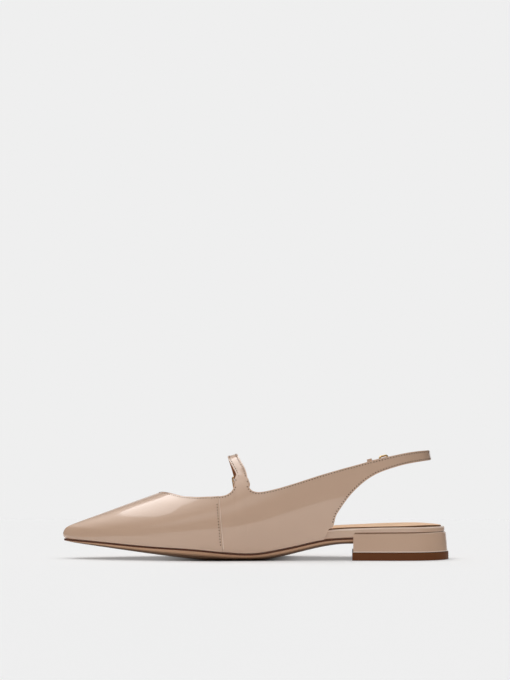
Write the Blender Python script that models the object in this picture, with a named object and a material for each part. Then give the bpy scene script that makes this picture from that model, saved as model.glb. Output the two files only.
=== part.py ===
"""Slingback flat for the right foot: pointed toe, buckled instep strap, low block heel.

Sizes and tables are in millimetres and solid() turns them into metres. X runs from the toe (-) to
the heel (+), Y from the inner side of the foot (-) to the outer side (+), Z up from the floor.
A station is a distance behind the nose of the toe. Heights in the tables start FLOOR below the floor.
"""

import math

import bmesh
import bpy
import numpy as np

MM = 0.001
INNER, OUTER = "medial", "lateral"

# Driving sizes of the last
LENGTH = 268.6
BALL_WIDTH = 76.5
INSTEP_HEIGHT = 71.4
SEAT_HEIGHT = 16.0
FLOOR = 0.8
TUCK = math.radians(15.0)
NOSE_TUCK = 1.5
NOSE_REACH = 15.0

# Leather and the space left between pieces that touch
WALL = 1.8
STEP = 0.5
QUARTER_WALL = WALL - STEP
GAP = 0.3

# Outline of the upper at its widest, in percent of the length and of the ball width
PLAN = {
    "station": (0.0, 0.74, 2.2, 5.6, 11.1, 18.5, 25.9, 33.3, 38.9, 44.4, 51.9, 59.3, 66.7, 74.1, 81.5,
                88.9, 94.4, 97.4, 99.8),
    "medial": (-3.9, -8.6, -12.9, -19.6, -28.2, -37.4, -44.4, -48.9, -49.9, -48.4, -43.9, -40.0, -37.9,
               -37.4, -37.8, -36.9, -31.1, -22.5, 0.0),
    "lateral": (-3.9, 0.5, 4.6, 11.2, 20.4, 30.8, 39.7, 46.3, 49.4, 50.1, 48.4, 45.2, 41.8, 39.7, 38.7,
                37.4, 31.4, 22.5, 0.0),
}
# Feather line, where the upper meets the outsole, in percent of the length and of the seat height
FEATHER = {
    "station": (0.0, 9.3, 20.4, 28.5, 34.8, 41.1, 46.7, 50.5, 56.3, 59.6, 63.0, 67.8, 70.4, 74.8),
    "height": (90.0, 81.0, 66.5, 58.5, 52.5, 42.5, 35.0, 35.0, 50.0, 61.0, 74.0, 91.0, 96.0, 100.0),
}
# Crown line of the last, in percent of the length and of the instep height
CROWN = {
    "station": (0.0, 0.56, 2.1, 3.7, 5.9, 9.9, 16.1, 20.7, 25.4, 31.9, 38.1, 44.4, 51.9, 61.1, 72.2, 81.9),
    "height": (24.6, 30.3, 33.7, 36.0, 39.2, 44.6, 53.3, 59.5, 65.9, 76.2, 87.8, 100.0, 114.7, 131.7,
               148.7, 160.0),
}

# Edges of the upper, seen from the side
TOPLINE = {
    "station": (68.5, 78.0, 86.0, 95.0, 111.0, 127.0, 141.0, 156.0, 181.0, 206.0, 231.0, 247.5, 255.7),
    "height": (46.9, 46.2, 44.8, 44.2, 45.0, 46.4, 48.0, 51.6, 59.5, 66.5, 72.7, 75.4, 76.0),
}
INNER_UNDERLINE = {
    "station": (182.4, 184.5, 186.2, 189.0, 190.0, 192.0, 197.5, 205.7, 214.0, 226.3, 239.0, 255.7),
    "height": (14.8, 19.5, 22.6, 24.8, 29.0, 33.6, 41.8, 51.0, 57.6, 63.2, 66.7, 69.2),
}
OUTER_UNDERLINE = {
    "station": (182.4, 185.5, 188.0, 191.2, 197.5, 204.0, 209.5, 215.0, 222.0),
    "height": (14.8, 20.0, 25.0, 31.8, 42.5, 52.6, 58.8, 62.0, 64.6),
}
# How far the outer topline lies below the inner one
OUTER_DROP = {
    "station": (68.5, 80.0, 100.0, 140.0, 175.0, 205.0, 228.0, 255.7),
    "drop": (0.0, 0.9, 2.4, 2.5, 2.4, 0.9, 0.7, 0.0),
}

# Tabs that hold the instep strap: stations of the foot and the top corner of each flank
TAB_FRONT_FOOT, TAB_FRONT = 110.0, 121.6
TAB_REAR, TAB_REAR_FOOT = 130.3, 143.5
TAB_FLANK = 3.0
TAB_SLOPE = -0.22
TAB_TOP = 59.2

# Columns of the upper's wall behind the throat: from station, to station, spacing
THROAT = TOPLINE["station"][0]
SIDE_START = 95.0
SEAM_TOP, SEAM_FOOT = 110.5, 113.4
SEAM_WIDTH = 0.3
SEAM_REACH = 8.0
INNER_SPANS = (
    (SIDE_START, SEAM_TOP - SEAM_WIDTH, 4.0),
    (SEAM_TOP, 118.5, 2.0),
    (118.5, 121.0, 0.6),
    (121.0, TAB_FRONT, 0.2),
    (TAB_FRONT, TAB_REAR, 2.9),
    (TAB_REAR, 130.9, 0.2),
    (130.9, 134.0, 0.8),
    (134.0, TAB_REAR_FOOT, 2.4),
    (TAB_REAR_FOOT, 182.4, 5.2),
    (182.4, 188.0, 1.4),
    (188.0, 192.0, 0.7),
    (192.0, 221.0, 4.2),
)
OUTER_SPANS = ((SIDE_START, 182.4, 5.2), (182.4, 191.0, 1.8), (191.0, 218.5, 4.0))
FAN_COLUMNS = 18
FAN_POWER = 3
WALL_ROWS = (0.0, 0.05, 0.12, 0.22, 0.33, 0.44, 0.55, 0.66, 0.77, 0.885, 1.0)
NOSE_ROWS = 2
NOSE_ANGLE = math.radians(30.0)
RIDGE_START = 0.07

# Sling strap behind the quarters
SLING_TURN = 221.0
SLING_REACH = 37.0
SLING_COLUMNS = 24
SLING_HALF = 3.4
SLING_END = {
    "station": (221.0, 218.0, 215.0, 212.5, 211.3, 210.4, 210.0),
    "half": (3.4, 3.4, 3.4, 3.3, 2.8, 1.8, 0.8),
}
SLING_LIFT = QUARTER_WALL + GAP
SLING_LIFT_FROM, SLING_LIFT_TO = 233.0, 223.5

# Sole
EDGE = 1.1
TOE_SPRING = 12.2
TOE_SPRING_POWER = 1.25
TREAD_FRONT, TREAD_REAR = 100.0, 140.0
# Rounded underside: how far in from the edge, and how much of the side's height is left there
UNDERSIDE_FULL = 60.0
UNDERSIDE = {"inset": (2.2, 8.0, 16.0), "left": (0.36, 0.09, 0.0)}
ARCH_RISE = 10.8
ARCH_POWER = 1.6
BREAST = 201.4
NARROW_FROM, NARROW_TO = 176.0, 190.0
# Round the toe the outsole stands out from the outline by this much, which fades between two stations
TOE_PROUD = 0.8
TOE_PROUD_FROM, TOE_PROUD_TO = 3.0, 30.0

# Insole board, sock and heel
BED = {
    "station": (0.0, 30.0, 60.0, 90.0, 110.0, 126.0, 140.0, 155.0, 170.0, 187.0, 202.0, 235.0, 270.0),
    "height": (16.0, 14.2, 12.2, 10.7, 9.2, 8.6, 10.2, 14.3, 18.2, 21.1, 21.6, 22.5, 24.0),
}
BOARD_EDGE = 1.0
SOCK_INSET = 2.6
SOCK_THICK = 0.9
HEEL_TOP_FRONT, HEEL_TOP_REAR = 17.7, 18.5
HEEL_TOP_INSET = 0.5
HEEL_FLARE = 2.0
HEEL_TOP_CORNER, HEEL_FOOT_CORNER = 0.8, 0.6
LIFT_THICK = 5.2
LIFT_FLARE = 2.6
BREAST_SET_BACK = 1.2
BLOCK_FRONT = BREAST + BREAST_SET_BACK

# Instep strap and the two buckles
STRAP_HALF = 3.55
STRAP_THICK = 1.5
STRAP_ROWS = (-1.0, -0.55, -0.25, 0.25, 0.55, 1.0)
STRAP_STEP = 2.8
# Course of the instep strap over the last: turn from the inner to the outer side in degrees, station
# of its middle, and how far its face stands off the last
INSTEP_PATH = {
    "turn": (34.0, 42.0, 49.0, 58.0, 72.0, 90.0, 112.0, 127.0, 136.0, 144.0, 149.0, 163.0),
    "station": (126.8, 126.2, 125.2, 123.0, 120.2, 118.6, 119.0, 120.4, 121.4, 122.2, 122.6, 123.8),
    "offset": (-2.1, -2.1, -2.1, -1.2, 0.8, 1.8, 1.6, 0.6, 0.3, 1.6, 1.8, 1.8),
}
STRAP_TIP = 6.0
# Over the crown the strap lies flatter than the last, by this share and within this power of the turn
STRAP_FLAT, STRAP_FLAT_POWER = 0.45, 8
# Above the inner tab the strap's rear edge is turned up: slope, and the turns where it grows and fades
STRAP_TWIST = 0.15
STRAP_TWIST_GROWS, STRAP_TWIST_FADES = (48.0, 56.0), (72.0, 90.0)
INSTEP_BAR_TURN, INSTEP_FAR_TURN = 145.0, 136.0
INSTEP_HOLE_TURNS = (140.4, 143.0)
INSTEP_KEEPER_TURN = 155.5
SLING_BAR = 222.4
SLING_HOLE = (223.9, 226.2)
SLING_HOLE_ROWS = (4, 5, 6)
HOLE_CLEAR = 0.03
SLING_KEEPER = 215.2
BAR_DEPTH = 3.0
WIRE = 0.7
CHAPE_WALL = 0.9
CHAPE_REACH = 5.0
CHAPE_TILT = math.radians(-16.0)
FRAME_LENGTH = 5.0
FRAME_CORNER = 1.2
FAR_STAND = GAP + WIRE
FRAME_SPACE = 0.45
PRONG = 0.55
PRONG_PLACE = 2.6
# The prong rises through its hole: set back, height of the foot, share of the height where it rests
PRONG_COURSE = ((0.0, -1.6, 0.0), (0.05, 0.6, 0.0), (0.5, 0.6, 0.62), (1.6, 0.2, 0.9))
PRONG_OVER, PRONG_POINT = 1.0, 0.7
KEEPER_WIDTH = 3.6
KEEPER_THICK = 0.8
KEEPER_SPACE = 0.8

COLOURS = {
    "patent": ((0.47, 0.32, 0.24), 0.12, 0.0),
    "lining": ((0.80, 0.56, 0.33), 0.55, 0.0),
    "sole_leather": ((0.42, 0.26, 0.15), 0.45, 0.0),
    "rubber": ((0.09, 0.03, 0.013), 0.6, 0.0),
    "gold": ((0.83, 0.62, 0.30), 0.22, 1.0),
}


def smooth(knots, values):
    """Cubic curve with even curvature through a table's points."""
    x = np.asarray(knots, float)
    y = np.asarray(values, float)
    gaps = np.diff(x)
    slopes = np.diff(y) / gaps
    system = np.eye(len(x))
    right = np.zeros(len(x))
    for i in range(1, len(x) - 1):
        system[i, i - 1 : i + 2] = gaps[i - 1], 2 * (gaps[i - 1] + gaps[i]), gaps[i]
        right[i] = 6 * (slopes[i] - slopes[i - 1])
    bend = np.linalg.solve(system, right)

    def at(q):
        i = int(np.clip(np.searchsorted(x, q) - 1, 0, len(x) - 2))
        a, b, h = x[i + 1] - q, q - x[i], gaps[i]
        curve = (bend[i] * a**3 + bend[i + 1] * b**3) / (6 * h)
        return curve + (y[i] / h - bend[i] * h / 6) * a + (y[i + 1] / h - bend[i + 1] * h / 6) * b

    return at


def ease(value, start, end):
    """Smooth step from 0 at start to 1 at end."""
    share = min(max((value - start) / (end - start), 0.0), 1.0)
    return share * share * (3 - 2 * share)


# The last: both ends are round, so its outline and crown are curves over an angle along the length
LAST_END = PLAN["station"][-1] * LENGTH / 100


def angle_at(station):
    return math.acos(min(max(1 - 2 * station / LAST_END, -1.0), 1.0))


def station_at(angle):
    return LAST_END * (1 - math.cos(angle)) / 2


plan_angles = [angle_at(p * LENGTH / 100) for p in PLAN["station"]]
outline_of = {
    side: smooth(plan_angles, np.multiply(PLAN[side], BALL_WIDTH / 100)) for side in (INNER, OUTER)
}
crown = smooth(
    [angle_at(p * LENGTH / 100) for p in CROWN["station"]],
    np.multiply(CROWN["height"], INSTEP_HEIGHT / 100),
)
feather = smooth(
    np.multiply(FEATHER["station"], LENGTH / 100),
    np.multiply(FEATHER["height"], SEAT_HEIGHT / 100),
)
topline_base = smooth(TOPLINE["station"], TOPLINE["height"])
outer_drop = smooth(OUTER_DROP["station"], OUTER_DROP["drop"])
inner_underline = smooth(INNER_UNDERLINE["station"], INNER_UNDERLINE["height"])
outer_underline = smooth(OUTER_UNDERLINE["station"], OUTER_UNDERLINE["height"])
bed = smooth(BED["station"], BED["height"])
QUARTER_END = INNER_UNDERLINE["station"][0]


def section(angle):
    """Middle height and half height of the last's elliptic section."""
    foot = feather(station_at(angle)) + GAP
    half = (crown(angle) - foot) / (1 + math.sin(TUCK))
    return crown(angle) - half, half


def last_point(angle, turn, side):
    """Point of the last: turn runs from -TUCK at the feather line to a right angle at the crown."""
    station = station_at(angle)
    axis = (outline_of[INNER](angle) + outline_of[OUTER](angle)) / 2
    middle, half = section(angle)
    near_nose = max(0.0, 1 - station / NOSE_REACH) ** 2
    pulled = NOSE_TUCK * near_nose * max(0.0, -turn / TUCK)
    across = (outline_of[side](angle) - axis) * math.cos(turn)
    return np.array([station + pulled, axis + across, middle + half * math.sin(turn)])


def turn_at(angle, height):
    middle, half = section(angle)
    return math.asin(min(max((height - middle) / half, -1.0), 1.0))


def topline(station, side):
    height = topline_base(station)
    if side == OUTER:
        return height - outer_drop(station)
    if not TAB_FRONT_FOOT < station < TAB_REAR_FOOT:
        return height
    rise = TAB_TOP + TAB_SLOPE * (station - TAB_FRONT) - height
    share = min(
        (station - TAB_FRONT_FOOT) / (TAB_FRONT - TAB_FRONT_FOOT),
        (TAB_REAR_FOOT - station) / (TAB_REAR_FOOT - TAB_REAR),
        1.0,
    )
    return height + rise * (1 - (1 - share**TAB_FLANK) ** (1 / TAB_FLANK))


def side_column(station, side):
    """Wall points from the feather line or the rear edge up to the topline."""
    slant = (SEAM_FOOT - SEAM_TOP) * math.exp(-(((station - SEAM_TOP) / SEAM_REACH) ** 2))
    foot_angle, top_angle = angle_at(station + slant), angle_at(station)
    low = -TUCK
    if station > QUARTER_END:
        underline = inner_underline if side == INNER else outer_underline
        low = turn_at(foot_angle, underline(station))
    high = turn_at(top_angle, topline(station, side))
    return [
        last_point(foot_angle + (top_angle - foot_angle) * t, low + (high - low) * t, side) for t in WALL_ROWS
    ]


def fan_column(share, side):
    """Rib of the vamp from the feather line to the edge of the throat; share 0 is the ridge."""
    start, throat = angle_at(SIDE_START), angle_at(THROAT)
    foot = np.array([start * share, -TUCK])
    top_angle = throat + (start - throat) * share**2
    top_turn = math.pi / 2
    if share > 0:
        top_turn = turn_at(top_angle, topline(station_at(top_angle), side))
    top = np.array([top_angle, top_turn])
    pull = (1 - share) ** FAN_POWER
    column = []
    for row, t in enumerate(WALL_ROWS):
        along = (row - NOSE_ROWS) / (len(WALL_ROWS) - 1 - NOSE_ROWS)
        ridge = np.array([RIDGE_START + (throat - RIDGE_START) * along, math.pi / 2])
        if row < NOSE_ROWS:
            ridge = np.array([0.0, (-TUCK, NOSE_ANGLE)[row]])
        straight = np.array([throat * t, -TUCK + (math.pi / 2 + TUCK) * t])
        angle, turn = (1 - t) * foot + t * top + pull * (ridge - straight)
        column.append(last_point(angle, turn, side))
    return column


def sling_point(bend, height):
    """Point of the sling strap: bend runs from 0 on the inner side round the heel to pi."""
    turn = turn_at(angle_at(SLING_TURN), height)
    inner = last_point(angle_at(SLING_TURN), turn, INNER)
    outer = last_point(angle_at(SLING_TURN), turn, OUTER)
    lean = (outer[1] - inner[1]) / 2 - SLING_SPREAD
    across = (inner[1] + outer[1]) / 2 - (outer[1] - inner[1]) / 2 * math.cos(bend)
    return np.array([SLING_TURN + (SLING_REACH + lean) * math.sin(bend), across, height])


# Half width between the quarters at the middle of the strap
turn_angle = angle_at(SLING_TURN)
middle_turn = turn_at(turn_angle, topline(SLING_TURN, INNER) - SLING_HALF)
SLING_SPREAD = outline_of[OUTER](turn_angle) * math.cos(middle_turn)


def sling_column(bend):
    station = SLING_TURN + SLING_REACH * math.sin(bend)
    side = INNER if bend < math.pi / 2 else OUTER
    top = topline(station, side)
    low = inner_underline(station) if side == INNER else top - 2 * SLING_HALF
    return [sling_point(bend, low + (top - low) * t) for t in WALL_ROWS]


def sling_end_column(station, half):
    middle = topline(station, OUTER) - SLING_HALF
    angle = angle_at(station)
    return [
        last_point(angle, turn_at(angle, middle + half * (2 * t - 1)), OUTER) for t in WALL_ROWS
    ]


def spread(spans):
    """Stations of the columns in a table of spans, each station once."""
    found = []
    for start, end, step in spans:
        count = max(1, math.ceil((end - start) / step - 1e-6))
        found += [start + (end - start) * i / count for i in range(count + 1)]
    return sorted(set(np.round(found, 4)))


def normals(grid):
    """Unit normals of a grid of points, columns by rows."""
    along = np.gradient(grid, axis=0)
    up = np.gradient(grid, axis=1)
    facing = np.cross(up, along)
    return facing / np.linalg.norm(facing, axis=2, keepdims=True)


def solid(name, points, faces, colour):
    """Named object from points in millimetres measured from the nose, and its faces."""
    points = np.asarray(points, float).reshape(-1, 3)
    moved = (points - np.array([LENGTH / 2, 0.0, FLOOR])) * MM
    mesh = bpy.data.meshes.new(name)
    mesh.from_pydata(moved.tolist(), [], faces)
    made = bmesh.new()
    made.from_mesh(mesh)
    bmesh.ops.recalc_face_normals(made, faces=made.faces)
    made.to_mesh(mesh)
    made.free()
    obj = bpy.data.objects.new(name, mesh)
    bpy.context.scene.collection.objects.link(obj)
    tint, rough, metal = COLOURS[colour]
    material = bpy.data.materials.new(name)
    material.use_nodes = True
    shader = material.node_tree.nodes["Principled BSDF"]
    shader.inputs["Base Color"].default_value = (*tint, 1.0)
    shader.inputs["Roughness"].default_value = rough
    shader.inputs["Metallic"].default_value = metal
    mesh.materials.append(material)
    return obj


def sheet(name, face, back, colour, holes=()):
    """Solid between two grids of points; a hole is a cell (column, row) left open."""
    columns, rows = face.shape[:2]
    size = columns * rows
    cells = {(c, r) for c in range(columns - 1) for r in range(rows - 1)} - set(holes)
    faces = []
    rim = {}
    for c, r in sorted(cells):
        a, b, d, e = c * rows + r, (c + 1) * rows + r, (c + 1) * rows + r + 1, c * rows + r + 1
        faces += [(a, b, d, e), (size + e, size + d, size + b, size + a)]
        for edge in ((a, b), (b, d), (d, e), (e, a)):
            rim[frozenset(edge)] = None if frozenset(edge) in rim else edge
    for edge in filter(None, rim.values()):
        a, b = edge
        faces.append((b, a, size + a, size + b))
    return solid(name, np.concatenate([face.reshape(-1, 3), back.reshape(-1, 3)]), faces, colour)


def loft(name, rings, colour):
    """Solid through closed rings of equal count, with a flat face at each end."""
    count = len(rings[0])
    faces = [tuple(range(count))]
    for k in range(len(rings) - 1):
        for i in range(count):
            j = (i + 1) % count
            faces.append((k * count + j, k * count + i, (k + 1) * count + i, (k + 1) * count + j))
    last = (len(rings) - 1) * count
    faces.append(tuple(last + i for i in reversed(range(count))))
    return solid(name, np.concatenate(rings), faces, colour)


for obj in list(bpy.data.objects):
    bpy.data.objects.remove(obj, do_unlink=True)

# Upper: one wall from the outer quarter round the toe to the inner quarter and on round the heel
outer_stations = [s for s in spread(OUTER_SPANS) if s > SIDE_START]
inner_stations = [s for s in spread(INNER_SPANS) if s > SIDE_START]
shares = [i / FAN_COLUMNS for i in range(1, FAN_COLUMNS + 1)]
even = [math.pi * i / SLING_COLUMNS for i in range(1, SLING_COLUMNS)]
hole_bends = [math.pi - math.asin((s - SLING_TURN) / SLING_REACH) for s in reversed(SLING_HOLE)]
hole_start, hole_end = hole_bends[0] - HOLE_CLEAR, hole_bends[1] + HOLE_CLEAR
bends = sorted([b for b in even if not hole_start < b < hole_end] + hole_bends)
columns = [side_column(s, OUTER) for s in reversed(outer_stations)]
columns += [fan_column(share, OUTER) for share in reversed(shares)]
columns += [fan_column(0.0, INNER)]
columns += [fan_column(share, INNER) for share in shares]
columns += [side_column(s, INNER) for s in inner_stations]
first_sling = len(columns)
columns += [sling_column(bend) for bend in bends]
columns += [sling_end_column(s, h) for s, h in zip(SLING_END["station"], SLING_END["half"])]
wall = np.array(columns)
facing = normals(wall)
if facing[len(outer_stations), 1, 1] < 0:
    facing = -facing
seam_column = first_sling - sum(s >= SEAM_TOP for s in inner_stations)
quarter_columns = np.arange(len(columns)) >= seam_column
shift = np.where(quarter_columns, -STEP, 0.0)
thick = np.where(quarter_columns, QUARTER_WALL, WALL)
for k, bend in enumerate(bends):
    station = SLING_TURN + SLING_REACH * math.sin(bend)
    if bend > math.pi / 2:
        shift[first_sling + k] += (SLING_LIFT + STEP) * ease(station, SLING_LIFT_FROM, SLING_LIFT_TO)
shift[first_sling + len(bends) :] += SLING_LIFT + STEP
outside = wall + facing * shift[:, None, None]
hole_column = first_sling + bends.index(hole_bends[0])
prong_hole = [(hole_column, row) for row in SLING_HOLE_ROWS]
sheet("upper", outside, outside - facing * thick[:, None, None], "patent", prong_hole)


# Sole, insole and heel: plates with the outline of the feather line, set in by a layer's own amount
def plate(name, stations, layers, colour, cross=4):
    """Plate whose edge runs down through layers of (inset, height), each a function of the station."""
    rings = []
    for station in stations:
        angle = angle_at(station)
        edges = {}
        for side, turn_in in ((INNER, 1.0), (OUTER, -1.0)):
            here = last_point(angle, -TUCK, side)
            along = last_point(angle + 1e-3, -TUCK, side) - last_point(angle - 1e-3, -TUCK, side)
            along /= np.linalg.norm(along[:2])
            inward = turn_in * np.array([-along[1], along[0]])
            edges[side] = [
                np.array([*(here[:2] + inward * inset(station)), height(station)]) for inset, height in layers
            ]
        across = [(i + 1) / (cross + 1) for i in range(cross)]
        under = [edges[INNER][-1] * (1 - t) + edges[OUTER][-1] * t for t in across]
        over = [edges[OUTER][0] * (1 - t) + edges[INNER][0] * t for t in across]
        rings.append(np.array(edges[INNER] + under + edges[OUTER][::-1] + over))
    return loft(name, rings, colour)


def stations_between(start, end, count):
    first, last = angle_at(start), angle_at(end)
    return [station_at(first + (last - first) * i / count) for i in range(count + 1)]


def sole_inset(station):
    proud = TOE_PROUD * (1 - ease(station, TOE_PROUD_FROM, TOE_PROUD_TO))
    return (WALL + GAP) * ease(station, NARROW_FROM, NARROW_TO) - proud


def sole_bottom(station):
    if station < TREAD_FRONT:
        return FLOOR + TOE_SPRING * ((TREAD_FRONT - station) / TREAD_FRONT) ** TOE_SPRING_POWER
    if station > TREAD_REAR:
        quarter_turn = (station - TREAD_REAR) / (BREAST - TREAD_REAR) * math.pi / 2
        return FLOOR + ARCH_RISE * math.sin(quarter_turn) ** ARCH_POWER
    return FLOOR


def underside(inset, left):
    """Layer of the outsole's rounded underside, drawn in with the outline towards the toe."""

    def narrowed(station):
        return sole_inset(station) + inset * ease(station, -NOSE_REACH, UNDERSIDE_FULL)

    def height(station):
        return sole_bottom(station) + left * (feather(station) - EDGE - sole_bottom(station))

    return narrowed, height


def heel_top(station):
    return HEEL_TOP_FRONT + (HEEL_TOP_REAR - HEEL_TOP_FRONT) * (station - BREAST) / (LENGTH - BREAST)


def board_bottom(station):
    return GAP + (feather(station) if station < BLOCK_FRONT - GAP / 2 else heel_top(station))


def set_in(amount):
    return lambda station: WALL + GAP + amount


TIP = 0.15
plate(
    "outsole",
    stations_between(TIP, BLOCK_FRONT, 38),
    [
        (sole_inset, feather),
        (sole_inset, lambda s: feather(s) - EDGE),
        *(underside(inset, left) for inset, left in zip(UNDERSIDE["inset"], UNDERSIDE["left"])),
    ],
    "sole_leather",
    cross=2,
)
plate(
    "insole_board",
    stations_between(TIP, BLOCK_FRONT - GAP, 28) + stations_between(BLOCK_FRONT, LAST_END - TIP, 16),
    [
        (set_in(BOARD_EDGE), bed),
        (set_in(BOARD_EDGE / 4), lambda s: bed(s) - BOARD_EDGE / 3),
        (set_in(0.0), lambda s: bed(s) - BOARD_EDGE),
        (set_in(0.0), lambda s: board_bottom(s) + BOARD_EDGE / 2),
        (set_in(BOARD_EDGE / 2), board_bottom),
    ],
    "patent",
    cross=3,
)
plate(
    "insole_sock",
    stations_between(1.0, LAST_END - TIP, 34),
    [
        (set_in(SOCK_INSET), lambda s: bed(s) + GAP + SOCK_THICK),
        (set_in(SOCK_INSET), lambda s: bed(s) + GAP),
    ],
    "lining",
    cross=3,
)
lift_top = FLOOR + LIFT_THICK
block_foot = lift_top + GAP
plate(
    "heel_block",
    stations_between(BLOCK_FRONT + GAP, LAST_END - TIP, 18),
    [
        (set_in(HEEL_TOP_INSET + HEEL_TOP_CORNER), heel_top),
        (set_in(HEEL_TOP_INSET), lambda s: heel_top(s) - HEEL_TOP_CORNER),
        (set_in(-HEEL_FLARE), lambda s: block_foot + HEEL_FOOT_CORNER),
        (set_in(HEEL_FOOT_CORNER - HEEL_FLARE), lambda s: block_foot),
    ],
    "patent",
    cross=1,
)
plate(
    "heel_top_lift",
    stations_between(BREAST + GAP, LAST_END - TIP, 18),
    [(set_in(-LIFT_FLARE), lambda s: lift_top), (set_in(-LIFT_FLARE), lambda s: FLOOR)],
    "rubber",
    cross=1,
)


# Straps and buckles, each laid out in the frame of its own place on the last
def instep_point(turn, station):
    side = INNER if turn < 90 else OUTER
    return last_point(angle_at(station), math.radians(turn if side == INNER else 180 - turn), side)


class Place:
    """Origin with axes along a strap towards its tip, across it and out of the shoe."""

    def __init__(self, origin, along, other):
        self.origin = origin
        self.along = along / np.linalg.norm(along)
        out = np.cross(self.along, other)
        self.out = out / np.linalg.norm(out)
        self.across = np.cross(self.out, self.along)

    def at(self, u, v, n):
        return self.origin + u * self.along + v * self.across + n * self.out

    def local(self, point):
        gap = point - self.origin
        return np.array([gap @ self.along, gap @ self.across, gap @ self.out])


instep_station = smooth(INSTEP_PATH["turn"], INSTEP_PATH["station"])
instep_offset = smooth(INSTEP_PATH["turn"], INSTEP_PATH["offset"])


def instep_place(turn):
    station = instep_station(turn)
    ahead = instep_point(turn + 0.5, instep_station(turn + 0.5))
    along = ahead - instep_point(turn - 0.5, instep_station(turn - 0.5))
    rearward = instep_point(turn, station + 0.5) - instep_point(turn, station - 0.5)
    rearward[2] *= 1 - STRAP_FLAT * math.sin(math.radians(turn)) ** STRAP_FLAT_POWER
    twisted = ease(turn, *STRAP_TWIST_GROWS) * (1 - ease(turn, *STRAP_TWIST_FADES))
    rearward[2] += STRAP_TWIST * twisted * rearward[0]
    return Place(instep_point(turn, station), along, -rearward)


def sling_middle(station):
    height = topline(station, OUTER) - SLING_HALF
    if station < SLING_TURN:
        return last_point(angle_at(station), turn_at(angle_at(station), height), OUTER)
    return sling_point(math.pi - math.asin((station - SLING_TURN) / SLING_REACH), height)


def sling_place(station):
    along = sling_middle(station - 0.5) - sling_middle(station + 0.5)
    return Place(sling_middle(station), along, np.array([0.0, 0.0, 1.0]))


strap_start, strap_end = INSTEP_PATH["turn"][0], INSTEP_PATH["turn"][-1]
hole_from, hole_to = INSTEP_HOLE_TURNS
before = np.linspace(strap_start, hole_from, math.ceil((hole_from - strap_start) / STRAP_STEP))
after = np.linspace(hole_to, strap_end - STRAP_TIP, 5)
tip = strap_end - STRAP_TIP * (1 - np.sin(np.linspace(0.4, 1.5, 4)))
face, back = [], []
for turn in (*before, *after, *tip):
    place = instep_place(turn)
    round_off = max(0.0, (turn - strap_end + STRAP_TIP) / STRAP_TIP)
    half = STRAP_HALF * max(math.sqrt(1 - round_off**2), 0.25)
    face.append([place.at(0, half * v, instep_offset(turn)) for v in STRAP_ROWS])
    back.append([place.at(0, half * v, instep_offset(turn) - STRAP_THICK) for v in STRAP_ROWS])
sheet("instep_strap", np.array(face), np.array(back), "patent", [(len(before) - 1, len(STRAP_ROWS) // 2 - 1)])


def chape(name, place, half):
    """Leather loop round the buckle's bar, drawn to a tip under the edge that it is sewn to."""
    angles = np.linspace(0, 2 * math.pi, 20, endpoint=False)
    hole = WIRE + GAP
    rim = hole + CHAPE_WALL
    loops = []
    for v in (-half, half):
        inner = [(hole * math.cos(a), hole * math.sin(a)) for a in angles]
        outer = [((CHAPE_REACH if math.cos(a) > 0 else rim) * math.cos(a), rim * math.sin(a)) for a in angles]
        for loop in (inner, outer):
            turned = [
                (
                    u * math.cos(CHAPE_TILT) - n * math.sin(CHAPE_TILT),
                    u * math.sin(CHAPE_TILT) + n * math.cos(CHAPE_TILT),
                )
                for u, n in loop
            ]
            loops.append([place.at(u, v, n - BAR_DEPTH) for u, n in turned])
    count = len(angles)
    faces = []
    for i in range(count):
        j = (i + 1) % count
        for a, b in ((0, 1), (1, 3), (3, 2), (2, 0)):
            faces.append((a * count + i, a * count + j, b * count + j, b * count + i))
    return solid(name, loops, faces, "patent")


def tube(name, path, radii, closed, plane):
    """Round bar along a flat path; plane is the normal of the path's plane."""
    path = np.asarray(path)
    count, sides = len(path), 8
    points = []
    for i in range(count):
        ahead = path[(i + 1) % count] if closed or i + 1 < count else path[i]
        behind = path[i - 1] if closed or i > 0 else path[i]
        side = np.cross(ahead - behind, plane)
        side /= np.linalg.norm(side)
        for k in range(sides):
            a = 2 * math.pi * k / sides
            points.append(path[i] + radii[i] * (math.cos(a) * side + math.sin(a) * plane))
    faces = []
    for i in range(count if closed else count - 1):
        for k in range(sides):
            m, j = (k + 1) % sides, (i + 1) % count
            faces.append((i * sides + k, j * sides + k, j * sides + m, i * sides + m))
    if not closed:
        faces += [tuple(range(sides)), tuple((count - 1) * sides + k for k in range(sides))]
    return solid(name, points, faces, "gold")


def buckle(name, place, far, half):
    """Frame from the bar inside the shoe to the far side that lies over the strap, and its prong."""
    far_u, _, far_n = place.local(far)
    far_n += FAR_STAND
    bar_n = -BAR_DEPTH
    wide = half + FRAME_SPACE + WIRE
    corners = (
        (far_u + FRAME_CORNER, wide - FRAME_CORNER, 90.0),
        (far_u + FRAME_CORNER, FRAME_CORNER - wide, 180.0),
        (-FRAME_CORNER, FRAME_CORNER - wide, 270.0),
        (-FRAME_CORNER, wide - FRAME_CORNER, 0.0),
    )
    path = []
    for u, v, start in corners:
        for degrees in np.linspace(start, start + 90, 5):
            a = math.radians(degrees)
            along = u + FRAME_CORNER * math.cos(a)
            level = bar_n + (far_n - bar_n) * along / far_u
            path.append(place.at(along, v + FRAME_CORNER * math.sin(a), level))
    plane = np.cross(path[5] - path[0], path[10] - path[5])
    plane /= np.linalg.norm(plane)
    tube(name + "_buckle", path, [WIRE] * len(path), True, plane)
    rest = far_n + WIRE + GAP + PRONG
    bent = [place.at(-PRONG_PLACE - back, 0.0, foot + share * rest) for back, foot, share in PRONG_COURSE]
    bent += [place.at(far_u, 0.0, rest), place.at(far_u - PRONG_OVER, 0.0, rest)]
    radii = [PRONG] * (len(bent) - 1) + [PRONG * PRONG_POINT]
    tube(name + "_prong", bent, radii, False, place.across)


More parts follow.
